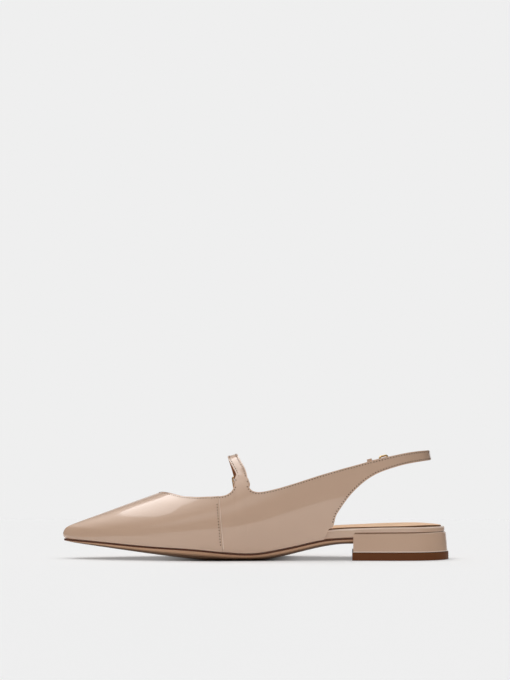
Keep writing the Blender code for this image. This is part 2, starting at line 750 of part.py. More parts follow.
far_place = instep_place(INSTEP_FAR_TURN)
bar_place = instep_place(INSTEP_BAR_TURN)
chape("instep_chape", bar_place, STRAP_HALF)
buckle("instep", bar_place, far_place.at(0, 0, instep_offset(INSTEP_FAR_TURN)), STRAP_HALF)
keeper_place = instep_place(INSTEP_KEEPER_TURN)
strap_top = instep_offset(INSTEP_KEEPER_TURN) + GAP
legs = STRAP_HALF + KEEPER_SPACE
staple = (
    (-legs, GAP),
    (-legs, strap_top),
    (legs, strap_top),
    (legs, GAP),
    (legs + KEEPER_THICK, GAP),
    (legs + KEEPER_THICK, strap_top + KEEPER_THICK),
    (-legs - KEEPER_THICK, strap_top + KEEPER_THICK),
    (-legs - KEEPER_THICK, GAP),
)
loft(
    "instep_keeper",
    [[keeper_place.at(u, v, n) for v, n in staple] for u in (-KEEPER_WIDTH / 2, KEEPER_WIDTH / 2)],
    "patent",
)

sling_far = SLING_BAR + FRAME_LENGTH
sling_far_lift = -STEP + (SLING_LIFT + STEP) * ease(sling_far, SLING_LIFT_FROM, SLING_LIFT_TO)
sling_bar = sling_place(SLING_BAR)
chape("sling_chape", sling_bar, SLING_HALF)
buckle("sling", sling_bar, sling_place(sling_far).at(0, 0, sling_far_lift), SLING_HALF)
ring_place = sling_place(SLING_KEEPER)
ring_half = SLING_HALF + KEEPER_SPACE
ring_low, ring_high = -WALL - 2 * GAP, SLING_LIFT + 2 * GAP
loops = []
for u in (-KEEPER_WIDTH / 2, KEEPER_WIDTH / 2):
    for more in (0.0, KEEPER_THICK):
        loops.append(
            [
                ring_place.at(u, v, n)
                for v, n in (
                    (-ring_half - more, ring_low - more),
                    (ring_half + more, ring_low - more),
                    (ring_half + more, ring_high + more),
                    (-ring_half - more, ring_high + more),
                )
            ]
        )
ring_faces = []
for i in range(4):
    j = (i + 1) % 4
    for a, b in ((0, 1), (1, 3), (3, 2), (2, 0)):
        ring_faces.append((a * 4 + i, a * 4 + j, b * 4 + j, b * 4 + i))
solid("sling_keeper", loops, ring_faces, "patent")
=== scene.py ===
import math

import bmesh
import bpy
from mathutils import Matrix, Vector
from mathutils.bvhtree import BVHTree
from mathutils.kdtree import KDTree


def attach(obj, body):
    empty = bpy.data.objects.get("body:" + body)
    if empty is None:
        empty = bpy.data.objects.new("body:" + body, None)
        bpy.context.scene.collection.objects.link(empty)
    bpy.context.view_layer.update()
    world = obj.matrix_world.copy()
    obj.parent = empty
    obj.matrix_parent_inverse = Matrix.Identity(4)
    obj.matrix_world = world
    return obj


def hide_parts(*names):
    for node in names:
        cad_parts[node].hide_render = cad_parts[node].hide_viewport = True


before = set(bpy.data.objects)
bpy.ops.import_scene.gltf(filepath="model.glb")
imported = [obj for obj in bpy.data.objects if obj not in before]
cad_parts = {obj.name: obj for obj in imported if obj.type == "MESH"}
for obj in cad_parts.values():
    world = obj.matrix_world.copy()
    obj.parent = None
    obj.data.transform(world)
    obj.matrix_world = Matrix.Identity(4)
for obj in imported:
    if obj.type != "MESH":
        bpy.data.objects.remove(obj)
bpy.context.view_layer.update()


# Insole board: the stiff board that the shoe is built on. Round the open heel its edge is wrapped
# in the patent leather of the upper, turned over a soft lip and glued down under the sock. The
# upward rounding of the lip is painted pale, a painted highlight. Over the heel block the board is
# bedded a little higher, and its downward slanting lower edge there is painted dark brown, a
# painted shade for the groove between board and block.
WELD = 1e-6
QUAD_BEND, QUAD_SKEW, QUAD_FLOW = math.radians(90.0), math.pi, 1.3
SETTLE, LONGEST_PULL, TINY = 0.8, 0.0008, 1e-9


def take_up(piece):
    """Makes this piece the only one that operators act on."""
    bpy.ops.object.select_all(action="DESELECT")
    piece.select_set(True)
    bpy.context.view_layer.objects.active = piece


def cut_out(node, name, *finishes):
    """Copy of a CAD node as one skin of faces, with its finishes."""
    take_up(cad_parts[node])
    bpy.ops.object.duplicate()
    piece = bpy.context.active_object
    for key in list(piece.keys()):
        del piece[key]
    piece.name = piece.data.name = name
    bpy.ops.object.mode_set(mode="EDIT")
    bpy.ops.mesh.select_all(action="SELECT")
    bpy.ops.mesh.customdata_custom_splitnormals_clear()
    bpy.ops.mesh.remove_doubles(threshold=WELD)
    bpy.ops.mesh.tris_convert_to_quads(
        face_threshold=QUAD_BEND, shape_threshold=QUAD_SKEW, topology_influence=QUAD_FLOW
    )
    bpy.ops.object.mode_set(mode="OBJECT")
    piece.data.materials.clear()
    for finish in finishes:
        piece.data.materials.append(finish)
    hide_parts(node)
    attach(piece, "root")
    return piece


def round_off(piece, sharp, levels=2, rounds=12):
    """Rounds the faces of a piece through their own corners. Edges over this angle stay sharp."""
    take_up(piece)
    bpy.ops.object.mode_set(mode="EDIT")
    bpy.ops.mesh.select_mode(type="EDGE")
    bpy.ops.mesh.select_all(action="DESELECT")
    bpy.ops.mesh.edges_select_sharp(sharpness=math.radians(sharp))
    bpy.ops.transform.edge_crease(value=1.0)
    bpy.ops.object.mode_set(mode="OBJECT")
    surface = piece.modifiers.new("rounding", "SUBSURF")
    surface.levels = surface.render_levels = levels
    corners = [vertex.co.copy() for vertex in piece.data.vertices]
    for _ in range(rounds):
        drawn_in = piece.evaluated_get(bpy.context.evaluated_depsgraph_get()).data.vertices
        moves = [corner - drawn_in[i].co for i, corner in enumerate(corners)]
        for vertex, corner, move in zip(piece.data.vertices, corners, moves):
            pull = vertex.co + SETTLE * move - corner
            vertex.co = corner + pull * min(1.0, LONGEST_PULL / max(pull.length, TINY))
        piece.data.update()
    bpy.ops.object.modifier_apply(modifier=surface.name)
    bpy.ops.object.shade_smooth()


def break_edges(piece, radius, sharp, segments=3):
    """Rounds the edges over this angle, and keeps the flat faces flat in the light."""
    take_up(piece)
    rounded = piece.modifiers.new("edges", "BEVEL")
    rounded.limit_method = "ANGLE"
    rounded.angle_limit = math.radians(sharp)
    rounded.width = radius
    rounded.segments = segments
    bpy.ops.object.modifier_apply(modifier=rounded.name)
    bpy.ops.object.shade_smooth()
    even = piece.modifiers.new("even_shade", "WEIGHTED_NORMAL")
    bpy.ops.object.modifier_apply(modifier=even.name)


def cut_through(piece, point, way, wanted=lambda face: True):
    """Cuts the wanted faces of a piece along the plane that faces this way at a point."""
    take_up(piece)
    bpy.ops.object.mode_set(mode="EDIT")
    bpy.ops.mesh.select_mode(type="FACE")
    bpy.ops.mesh.select_all(action="DESELECT")
    bpy.ops.object.mode_set(mode="OBJECT")
    for face in piece.data.polygons:
        face.select = wanted(face)
    bpy.ops.object.mode_set(mode="EDIT")
    bpy.ops.mesh.bisect(plane_co=point, plane_no=way)
    bpy.ops.object.mode_set(mode="OBJECT")


def share(value, start, stop):
    """How far a value has come from start to stop, from 0 to 1."""
    return min(1.0, max(0.0, (value - start) / (stop - start)))


class Wire:
    """Output of a shader node. Sums and products of wires and numbers become Math nodes."""

    def __init__(self, tree, socket=None):
        self.tree = tree
        self.socket = socket

    def node(self, kind, settings, inputs, output=0):
        made = self.tree.nodes.new("ShaderNode" + kind)
        for key, value in settings.items():
            setattr(made, key, value)
        for key, value in inputs.items():
            if isinstance(value, Wire):
                self.tree.links.new(value.socket, made.inputs[key])
            else:
                made.inputs[key].default_value = value
        return Wire(self.tree, made.outputs[output])

    def math(self, operation, first, second):
        return self.node("Math", {"operation": operation}, {0: first, 1: second})

    def __add__(self, other):
        return self.math("ADD", self, other)

    def __radd__(self, other):
        return self.math("ADD", other, self)

    def __sub__(self, other):
        return self.math("SUBTRACT", self, other)

    def __rsub__(self, other):
        return self.math("SUBTRACT", other, self)

    def __mul__(self, other):
        return self.math("MULTIPLY", self, other)

    def __rmul__(self, other):
        return self.math("MULTIPLY", other, self)

    def __truediv__(self, other):
        return self.math("DIVIDE", self, other)


def finish_of(name, **constants):
    """New material: its shader with the given constant sockets, and a wire to build on."""
    material = bpy.data.materials.new(name)
    material.use_nodes = True
    shader = material.node_tree.nodes["Principled BSDF"]
    for socket, value in constants.items():
        shader.inputs[socket.replace("_", " ")].default_value = value
    return material, shader, Wire(material.node_tree)


def tint(wire, shader, tone, deep, clouds):
    """Base colour that drifts between two tones in soft clouds of this scale."""
    place = wire.node("TexCoord", {}, {}, "Object")
    cloud = wire.node("TexNoise", {}, {"Vector": place, "Scale": clouds, "Detail": 2.0})
    tones = {0: cloud, 6: (*tone, 1.0), 7: (*deep, 1.0)}
    mixed = wire.node("Mix", {"data_type": "RGBA"}, tones, 2)
    wire.tree.links.new(mixed.socket, shader.inputs["Base Color"])
    return place


def relief(wire, shader, height, depth, strength):
    """Fine relief of the surface from a height wire."""
    bump = wire.node("Bump", {}, {"Height": height, "Distance": depth, "Strength": strength})
    wire.tree.links.new(bump.socket, shader.inputs["Normal"])


PATENT_TONE = (0.705, 0.482, 0.347)
PATENT_DEEP = (0.680, 0.460, 0.328)
patent, shader, wire = finish_of(
    "patent_leather",
    Roughness=0.36,
    Specular_IOR_Level=0.25,
    Coat_Weight=1.0,
    Coat_Roughness=0.03,
    Coat_IOR=1.6,
)
place = tint(wire, shader, PATENT_TONE, PATENT_DEEP, clouds=60.0)
peel = wire.node("TexNoise", {}, {"Vector": place, "Scale": 420.0, "Detail": 1.0})
relief(wire, shader, peel, depth=0.00002, strength=0.2)

# Pale finish for turned-over edges: a painted highlight for the light these rounded edges catch, on
# the lip of the board, the side seams and the foot of the heel block.
HIGHLIGHT_EDGE_TONE = (0.93, 0.74, 0.61)
HIGHLIGHT_EDGE_DEEP = (0.89, 0.69, 0.56)
highlight_edge, shader, wire = finish_of(
    "painted_highlight_edge", Roughness=0.4, Coat_Weight=0.5, Coat_Roughness=0.1
)
tint(wire, shader, HIGHLIGHT_EDGE_TONE, HIGHLIGHT_EDGE_DEEP, clouds=500.0)

# Dark brown painted shade for the groove between the board and the heel block.
GROOVE_SHADE_TONE = (0.20, 0.105, 0.060)
GROOVE_SHADE_DEEP = (0.16, 0.080, 0.044)
groove_shade, shader, wire = finish_of("groove_shade", Roughness=0.7, Specular_IOR_Level=0.15)
tint(wire, shader, GROOVE_SHADE_TONE, GROOVE_SHADE_DEEP, clouds=500.0)

LIP_START, LIP_FULL, LIP_MIDDLE = 0.030, 0.050, 0.082
LIP_RISE, LIP_CURVE = 0.0013, 0.7
SLANT, FLAT = 0.2, 0.9
SEAT_FRONT, SEAT_STEP, ON_CUT = 0.0690, 0.0003, 1e-5
SEAT_LOW, SEAT_HIGH, SEAT_RISE = 0.0180, 0.0205, 0.00115


def lip_rise(x):
    """Rise of the soft lip over the board's own top, in a low arch round the heel."""
    return share(x, LIP_START, LIP_FULL) * (LIP_RISE - LIP_CURVE * (x - LIP_MIDDLE) ** 2)


board = cut_out("insole_board", "insole_board_wrap", patent, highlight_edge, groove_shade)
# Upward slanting faces of the lip get the pale finish, a painted highlight. Downward slanting faces
# over the heel block get the dark brown finish, a painted shade in the groove.
for face in board.data.polygons:
    if face.center.x > LIP_START and SLANT < face.normal.z < FLAT:
        face.material_index = 1
    if face.center.x > SEAT_FRONT and -FLAT < face.normal.z < -SLANT:
        face.material_index = 2
top_faces = [face for face in board.data.polygons if face.normal.z > SLANT]
for i in {i for face in top_faces for i in face.vertices}:
    board.data.vertices[i].co.z += lip_rise(board.data.vertices[i].co.x)
round_off(board, sharp=25.0)
for cut in (SEAT_FRONT, SEAT_FRONT + SEAT_STEP):
    cut_through(board, (cut, 0.0, 0.0), (1.0, 0.0, 0.0))
for vertex in board.data.vertices:
    if vertex.co.x > SEAT_FRONT + ON_CUT:
        vertex.co.z += SEAT_RISE * share(vertex.co.z, SEAT_HIGH, SEAT_LOW)
break_edges(board, radius=0.0003, sharp=25.0)

# Upper: vamp, quarters and sling strap of patent leather with a thin leather lining. The edges are
# turned over and sewn, and the lower margin is lasted under the board.
LINING_TONE = (0.72, 0.48, 0.31)
LINING_DEEP = (0.66, 0.42, 0.26)
lining, shader, wire = finish_of("lining_leather", Roughness=0.55, Specular_IOR_Level=0.3)
place = tint(wire, shader, LINING_TONE, LINING_DEEP, clouds=90.0)
grain = wire.node("TexVoronoi", {}, {"Vector": place, "Scale": 1600.0})
relief(wire, shader, grain, depth=0.00008, strength=0.4)

HEEL_CENTRE, QUARTER_START, NOSE_CENTRE = 0.087, -0.030, -0.118
CORE_HEIGHT = 0.022
LINED_TURN = -0.4


def over_instep(point):
    """Direction from the core of the foot to a point over it."""
    return (point - Vector((max(point.x, NOSE_CENTRE), 0.0, CORE_HEIGHT))).normalized()


def outward(point):
    """Direction from the foot to a point of the upper: level at the quarters and the heel."""
    if point.x < QUARTER_START:
        return over_instep(point)
    return (point - Vector((min(point.x, HEEL_CENTRE), 0.0, point.z))).normalized()


def line_inside(piece, away):
    """Gives the faces that look to the foot the second finish of the piece."""
    for face in piece.data.polygons:
        face.material_index = 1 if face.normal.dot(away(face.center)) < LINED_TURN else 0


THROAT_START, THROAT_END = -0.066, -0.042
THROAT_LOW, THROAT_RIM = 0.041, 0.043
INNER_DIP, OUTER_DIP = 0.0004, 0.0011
upper = cut_out("upper", "upper_leather", patent, lining, highlight_edge)
for vertex in upper.data.vertices:
    dip = INNER_DIP if vertex.co.y < 0.0 else OUTER_DIP
    behind_throat = math.sin(math.pi * share(vertex.co.x, THROAT_START, THROAT_END)) ** 2
    vertex.co.z -= dip * behind_throat * share(vertex.co.z, THROAT_LOW, THROAT_RIM)
line_inside(upper, outward)
round_off(upper, sharp=50.0)

# Side seams: on each side the folded edge of the vamp lies on the quarter, from the topline down to
# the sole, and stands up as a low step. The step's faces are painted pale, a painted highlight.
SEAM_TOP, SEAM_FOOT = Vector((-0.0238, 0.0, 0.0424)), Vector((-0.0209, 0.0, 0.0115))
SEAM_LOWEST, SEAM_FULL, SEAM_REACH = 0.008, 0.010, 0.006
FOLD_STEP, FOLD_WIDTH, FOLD_FADE = 0.00035, 0.00045, 0.020
OUTER_TURN, EDGE_TURN = 0.3, 0.2
seam_down = (SEAM_FOOT - SEAM_TOP).normalized()
heelwards = Vector((-seam_down.z, 0.0, seam_down.x))


def behind_seam(point):
    """Distance of a point behind the seam line. It is negative on the vamp."""
    return (point - SEAM_TOP).dot(heelwards)


def beside_seam(face):
    """True for the outer faces next to the seam line."""
    near = abs(behind_seam(face.center)) < SEAM_REACH and face.center.z > SEAM_LOWEST
    return near and face.normal.dot(outward(face.center)) > OUTER_TURN


for cut in (0.0, FOLD_WIDTH):
    cut_through(upper, SEAM_TOP + heelwards * cut, heelwards, beside_seam)
for vertex in upper.data.vertices:
    behind, away = behind_seam(vertex.co), outward(vertex.co)
    if -FOLD_FADE < behind < WELD and vertex.normal.dot(away) > OUTER_TURN:
        step = FOLD_STEP * (1.0 + behind / FOLD_FADE)
        vertex.co += away * step * share(vertex.co.z, SEAM_LOWEST, SEAM_FULL)
# The step's faces get the pale finish, a painted highlight on the edge.
for face in upper.data.polygons:
    if 0.0 < behind_seam(face.center) < FOLD_WIDTH and face.center.z > SEAM_LOWEST:
        if face.normal.dot(outward(face.center)) > EDGE_TURN:
            face.material_index = 2

# Edge stitching: rows of short stitches in thread of the leather's own colour, a little in from
# each turned edge. Each stitch is a thread that dips into a needle hole at its ends. Each needle
# hole is a flat dark disc on the surface, a painted shade.
PITCH = 0.0020
THREAD = (0.00110, 0.00032, 0.00018)
HOLE_RADIUS, HOLE_LIFT = 0.00042, 0.00005
SEWN_IN, SEAM_SEWN_IN, CORNER_ROOM = 0.0011, 0.0014, 0.9
ROW_FOOT, TAB_ROW_TOP = 0.0240, 0.0555
LEAST_ROW, LOWEST_ROW = 0.010, 0.045
MARGIN_TOP, MARGIN_TURN = 0.020, -0.5
RIM_ANGLE, RIM_BACK, RIM_FRONT = math.radians(60.0), -0.5, 0.45
SEAM_CASTS, FIRST_CAST, CAST_FROM = 60, 4, 0.1


def long_enough(line):
    """Slots and holes aren't sewn, and neither is the lower margin, which goes under the board."""
    reach = sum((end - start).length for (start, _), (end, _) in zip(line, line[1:]))
    return reach > LEAST_ROW and max(point.z for point, _ in line) > LOWEST_ROW


def edge_lines(piece, away):
    """Lines along the outer edges of a leather piece: pairs of a point and the way in."""
    shape = bmesh.new()
    shape.from_mesh(piece.data)
    steps = {}

    def turn(face):
        return face.normal.dot(away(face.calc_center_median()))

    for edge in shape.edges:
        if len(edge.link_faces) != 2 or edge.calc_face_angle() < RIM_ANGLE:
            continue
        rim, face = sorted(edge.link_faces, key=turn)
        under = rim.normal.z < MARGIN_TURN and rim.calc_center_median().z < MARGIN_TOP
        if under or turn(face) < RIM_FRONT or not RIM_BACK < turn(rim) < RIM_FRONT:
            continue
        start, end = edge.verts
        along = (end.co - start.co).normalized()
        way_in = face.calc_center_median() - (start.co + end.co) / 2
        way_in = (way_in - along * way_in.dot(along)).normalized()
        steps.setdefault(start, []).append((end, way_in))
        steps.setdefault(end, []).append((start, way_in))
    lines = []
    left = dict.fromkeys(sorted(steps, key=lambda v: (len(steps[v]), v.index)))
    while left:
        here = next(iter(left))
        line = []
        while here is not None:
            left.pop(here)
            way_in = sum((way for _, way in steps[here]), Vector()).normalized()
            line.append((here.co.copy(), way_in))
            here = next((there for there, _ in steps[here] if there in left), None)
        lines.append(line)
    shape.free()
    return [line for line in lines if long_enough(line)]


def set_in(lines, amount):
    """The same lines, drawn in. Points that a corner brings too near an edge are dropped."""
    points = [point for line in lines for point, _ in line]
    edges = KDTree(len(points))
    for i, point in enumerate(points):
        edges.insert(point, i)
    edges.balance()
    moved = [[point + way_in * amount for point, way_in in line] for line in lines]
    least = CORNER_ROOM * amount
    return [[point for point in line if edges.find(point)[2] > least] for line in moved]


def skin_of(piece):
    """The faces of a piece, to find places on them."""
    shape = bmesh.new()
    shape.from_mesh(piece.data)
    skin = BVHTree.FromBMesh(shape)
    shape.free()
    return skin


def stitch_places(path, skin):
    """One place for each stitch of a path: its thread runs along x and stands up along z."""
    places = []
    ahead = PITCH / 2
    for start, end in zip(path, path[1:]):
        length = (end - start).length
        if length < TINY:
            continue
        along = (end - start) / length
        while ahead < length:
            spot, normal, _, _ = skin.find_nearest(start + along * ahead)
            x = (along - normal * along.dot(normal)).normalized()
            laid = Matrix((x, normal.cross(x), normal)).transposed().to_4x4()
            laid.translation = spot
            places.append(laid)
            ahead += PITCH
        ahead -= length
    return places


THREAD_TONE = (0.80, 0.60, 0.47)
THREAD_DEEP = (0.74, 0.53, 0.41)
thread, shader, wire = finish_of("sewing_thread", Roughness=0.55, Specular_IOR_Level=0.3)
place = tint(wire, shader, THREAD_TONE, THREAD_DEEP, clouds=900.0)
twist = wire.node(
    "TexWave", {"bands_direction": "DIAGONAL"}, {"Vector": place, "Scale": 1500.0}
)
relief(wire, shader, twist, depth=0.00004, strength=0.5)
# Dark finish of the needle-hole discs: a painted shade for the hollow of each hole.
HOLE_SHADE_TONE = (0.130, 0.070, 0.045)
HOLE_SHADE_DEEP = (0.100, 0.052, 0.033)
needle_hole_shade, shader, wire = finish_of("needle_hole_shade", Roughness=0.9, Specular_IOR_Level=0.1)
tint(wire, shader, HOLE_SHADE_TONE, HOLE_SHADE_DEEP, clouds=900.0)

bpy.ops.object.select_all(action="DESELECT")
bpy.ops.mesh.primitive_circle_add(
    vertices=8, radius=HOLE_RADIUS, fill_type="NGON", location=(PITCH / 2, 0.0, HOLE_LIFT)
)
bpy.ops.object.transform_apply()
hole_shade_disc = bpy.context.active_object
hole_shade_disc.data.materials.append(needle_hole_shade)
bpy.ops.object.select_all(action="DESELECT")
bpy.ops.mesh.primitive_uv_sphere_add(segments=8, ring_count=5, radius=0.5)
stitch = bpy.context.active_object
stitch.data.materials.append(thread)
bpy.ops.object.mode_set(mode="EDIT")
bpy.ops.transform.resize(value=THREAD)
bpy.ops.object.mode_set(mode="OBJECT")
bpy.ops.object.shade_smooth()
hole_shade_disc.select_set(True)
bpy.ops.object.join()


def sew(name, paths, skin):
    """Copies the stitch along the paths and joins the copies to one piece."""
    bpy.ops.object.select_all(action="DESELECT")
    for path in paths:
        for spot in stitch_places(path, skin):
            copy = stitch.copy()
            copy.data = stitch.data.copy()
            copy.data.transform(spot)
            bpy.context.scene.collection.objects.link(copy)
            copy.select_set(True)
            bpy.context.view_layer.objects.active = copy
    bpy.ops.object.join()
    sewn = bpy.context.active_object
    sewn.name = sewn.data.name = name
    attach(sewn, "root")


def seam_row(skin, side):
    """Row beside the seam on one side of the shoe, found from outside."""
    beside = Vector((0.0, CAST_FROM * side, 0.0)) - heelwards * SEAM_SEWN_IN
    row = []
    for i in range(FIRST_CAST, SEAM_CASTS + 1):
        start = SEAM_TOP.lerp(SEAM_FOOT, i / SEAM_CASTS) + beside
        spot = skin.ray_cast(start, Vector((0.0, -side, 0.0)))[0]
        if spot.y * side > 0.0:
            row.append(spot)
    return row


upper_edges = edge_lines(upper, outward)
break_edges(upper, radius=0.0006, sharp=65.0)
upper_skin = skin_of(upper)
rows = []
for line in set_in(upper_edges, SEWN_IN):
    rows.append([])
    for point in line:
        if point.z > ROW_FOOT and (point.x > 0.0 or point.z < TAB_ROW_TOP):
            rows[-1].append(point)
        else:
            rows.append([])
rows += [seam_row(upper_skin, side) for side in (-1.0, 1.0)]
sew("upper_stitches", rows, upper_skin)

# Outsole: one thin leather sole with a rounded underside, cemented to the lasted margin. The upper
# part of its edge is dyed dark. The underside and the two rows of edge faces next to it are painted
# darker towards the underside, a painted shade.
SOLE_TONE = (0.65, 0.39, 0.24)
SOLE_DEEP = (0.58, 0.34, 0.20)
sole_leather, shader, wire = finish_of("sole_leather", Roughness=0.42, Specular_IOR_Level=0.4)
place = tint(wire, shader, SOLE_TONE, SOLE_DEEP, clouds=140.0)
fibre = wire.node("TexNoise", {}, {"Vector": place, "Scale": 900.0, "Detail": 3.0})
relief(wire, shader, fibre, depth=0.00005, strength=0.3)
EDGE_TONE = (0.120, 0.038, 0.018)
EDGE_DEEP = (0.090, 0.027, 0.012)
edge_dye, shader, wire = finish_of("edge_dye", Roughness=0.4, Specular_IOR_Level=0.25)
tint(wire, shader, EDGE_TONE, EDGE_DEEP, clouds=300.0)
# Painted shade: the darkest finish for the underside and the row of edge faces next to it, and a
# lighter one for the row above.
UNDERSIDE_SHADE_TONE = (0.15, 0.078, 0.040)
UNDERSIDE_SHADE_DEEP = (0.12, 0.060, 0.030)
underside_shade, shader, wire = finish_of("sole_underside_shade", Roughness=0.5, Specular_IOR_Level=0.3)
tint(wire, shader, UNDERSIDE_SHADE_TONE, UNDERSIDE_SHADE_DEEP, clouds=140.0)
SHADED_TONE = (0.36, 0.205, 0.12)
SHADED_DEEP = (0.31, 0.175, 0.10)
shaded_side, shader, wire = finish_of(
    "sole_shaded_side", Roughness=0.45, Specular_IOR_Level=0.35
)
tint(wire, shader, SHADED_TONE, SHADED_DEEP, clouds=140.0)

SOLE_TOP, SOLE_SIDE, SOLE_UNDER = 0.8, 0.5, -0.85
DYED, UNDER_SHADE, SHADED = 1, 2, 3


def next_to(face):
    """The faces round a face, and the face itself."""
    return (other for edge in face.edges for other in edge.link_faces)


outsole = cut_out(
    "outsole", "outsole_leather", sole_leather, edge_dye, underside_shade, shaded_side
)
shape = bmesh.new()
shape.from_mesh(outsole.data)
for face in shape.faces:
    face.material_index = UNDER_SHADE if face.normal.z < SOLE_UNDER else 0
    if abs(face.normal.z) < SOLE_SIDE and any(o.normal.z > SOLE_TOP for o in next_to(face)):
        face.material_index = DYED
shape.to_mesh(outsole.data)
shape.free()
round_off(outsole, sharp=25.0)
shape = bmesh.new()
shape.from_mesh(outsole.data)
# Painted shade, in two rows of edge faces next to the underside.
for painted_shade in (UNDER_SHADE, SHADED):
    bare = [face for face in shape.faces if face.material_index == 0]
    for face in [face for face in bare if any(o.material_index > DYED for o in next_to(face))]:
        face.material_index = painted_shade
shape.to_mesh(outsole.data)
shape.free()
break_edges(outsole, radius=0.0003, sharp=25.0)

# Heel: a low block wrapped in the patent leather, which is folded under at its foot, screwed on
# through the board, with a rubber top lift nailed under it. A thin band at the foot of the wrap is
# painted pale, a painted highlight.
BREAST_LAP, TOP_LAP, BREAST_TURN = 0.0005, 0.0003, -0.8
BLOCK_SHOULDER, SIDE_SPREAD, BACK_SPREAD = 0.0155, 0.0005, 0.0009
BACK_START, BACK_FULL = 0.105, 0.130
BLOCK_FOOT, FOOT_SPREAD, FOOT_HIGHLIGHT = 0.0058, 0.0006, 0.0005
FOOT_HIGHLIGHT_TOP = BLOCK_FOOT + FOOT_HIGHLIGHT
block = cut_out("heel_block", "heel_block_wrap", patent, highlight_edge)
breast = [face for face in block.data.polygons if face.normal.x < BREAST_TURN]
breast_corners = {i for face in breast for i in face.vertices}
for vertex in block.data.vertices:
    if vertex.co.z > BLOCK_SHOULDER:
        spread = SIDE_SPREAD + BACK_SPREAD * share(vertex.co.x, BACK_START, BACK_FULL)
        vertex.co += outward(vertex.co) * spread + Vector((0.0, 0.0, SEAT_RISE + TOP_LAP))
    elif vertex.co.z < BLOCK_FOOT:
        vertex.co += outward(vertex.co) * FOOT_SPREAD
for i in breast_corners:
    block.data.vertices[i].co.x -= BREAST_LAP
round_off(block, sharp=25.0)
# A thin band at the foot gets the pale finish, a painted highlight.
cut_through(block, (0.0, 0.0, FOOT_HIGHLIGHT_TOP), (0.0, 0.0, 1.0))
for face in block.data.polygons:
    face.material_index = 1 if face.center.z < FOOT_HIGHLIGHT_TOP and face.normal.z > -FLAT else 0
break_edges(block, radius=0.0004, sharp=25.0)

LIFT_TONE = (0.165, 0.053, 0.014)
LIFT_DEEP = (0.145, 0.045, 0.011)
rubber, shader, wire = finish_of("top_lift_rubber", Roughness=0.55, Specular_IOR_Level=0.2)
place = tint(wire, shader, LIFT_TONE, LIFT_DEEP, clouds=200.0)
grit = wire.node("TexNoise", {}, {"Vector": place, "Scale": 2500.0, "Detail": 2.0})
relief(wire, shader, grit, depth=0.00004, strength=0.4)
lift = cut_out("heel_top_lift", "heel_top_lift_rubber", rubber)
round_off(lift, sharp=25.0)
break_edges(lift, radius=0.0003, sharp=25.0)

# Sock: a thin sheet of pale leather, glued over the board. Its cut edge is painted dark brown, a
# painted shade for the line where it sits on the board. At the heel it lies over a soft pad, which
# makes a low crown.
SOCK_TONE = (0.86, 0.58, 0.37)
SOCK_DEEP = (0.80, 0.52, 0.32)
sock_leather, shader, wire = finish_of("sock_leather", Roughness=0.55, Specular_IOR_Level=0.2)
place = tint(wire, shader, SOCK_TONE, SOCK_DEEP, clouds=70.0)
grain = wire.node("TexVoronoi", {}, {"Vector": place, "Scale": 1400.0})
relief(wire, shader, grain, depth=0.00008, strength=0.35)
# Dark brown painted shade for the sock's edge where it sits on the board.
SOCK_EDGE_SHADE_TONE = (0.24, 0.125, 0.06)
SOCK_EDGE_SHADE_DEEP = (0.18, 0.09, 0.042)
sock_edge_shade, shader, wire = finish_of("sock_edge_painted_shade", Roughness=0.7, Specular_IOR_Level=0.15)
tint(wire, shader, SOCK_EDGE_SHADE_TONE, SOCK_EDGE_SHADE_DEEP, clouds=500.0)
SOCK_SINK, SOCK_SIDE = 0.0006, 0.5
CROWN, CROWN_HALF_WIDTH = 0.0015, 0.023
CROWN_START, CROWN_FULL, CROWN_END = 0.045, 0.108, 0.1285


def heel_crown(x, y):
    """Rise of the soft heel pad under the sock."""
    grows = math.sin(share(x, CROWN_START, CROWN_FULL) * math.pi / 2)
    fades = math.sin(share(x, CROWN_END, CROWN_FULL) * math.pi / 2)
    return CROWN * grows * fades * max(0.0, 1.0 - (y / CROWN_HALF_WIDTH) ** 2)


sock = cut_out("insole_sock", "insole_sock_leather", sock_leather, sock_edge_shade)
# Side faces get the dark brown finish, a painted shade.
for face in sock.data.polygons:
    face.material_index = 1 if abs(face.normal.z) < SOCK_SIDE else 0
for vertex in sock.data.vertices:
    vertex.co.z += lip_rise(vertex.co.x) - SOCK_SINK
round_off(sock, sharp=40.0)
break_edges(sock, radius=0.0002, sharp=40.0)
for vertex in sock.data.vertices:
    vertex.co.z += heel_crown(vertex.co.x, vertex.co.y)

# Instep strap: a narrow folded strap, patent leather outside and brown leather inside, sewn along
# both edges. Its end lies under the inner tab and the free end goes through the outer buckle.
STRAP_LINING_TONE = (0.36, 0.19, 0.11)
STRAP_LINING_DEEP = (0.31, 0.16, 0.09)
STRAP_SEWN_IN = 0.0012
strap_lining, shader, wire = finish_of("strap_lining", Roughness=0.5, Specular_IOR_Level=0.3)
tint(wire, shader, STRAP_LINING_TONE, STRAP_LINING_DEEP, clouds=200.0)
strap = cut_out("instep_strap", "instep_strap_leather", patent, strap_lining)
line_inside(strap, over_instep)
round_off(strap, sharp=50.0)
strap_edges = edge_lines(strap, over_instep)
break_edges(strap, radius=0.0004, sharp=60.0)
sew("instep_strap_stitches", set_in(strap_edges, STRAP_SEWN_IN), skin_of(strap))
bpy.data.objects.remove(stitch)

# Chapes and keepers: short loops of the patent leather that hold the buckles and the ends of the
# straps. They are folded round and sewn or glued to the straps behind.
for node in ("instep_chape", "instep_keeper", "sling_chape", "sling_keeper"):
    loop = cut_out(node, node + "_leather", patent)
    round_off(loop, sharp=40.0)
    break_edges(loop, radius=0.0002, sharp=50.0)

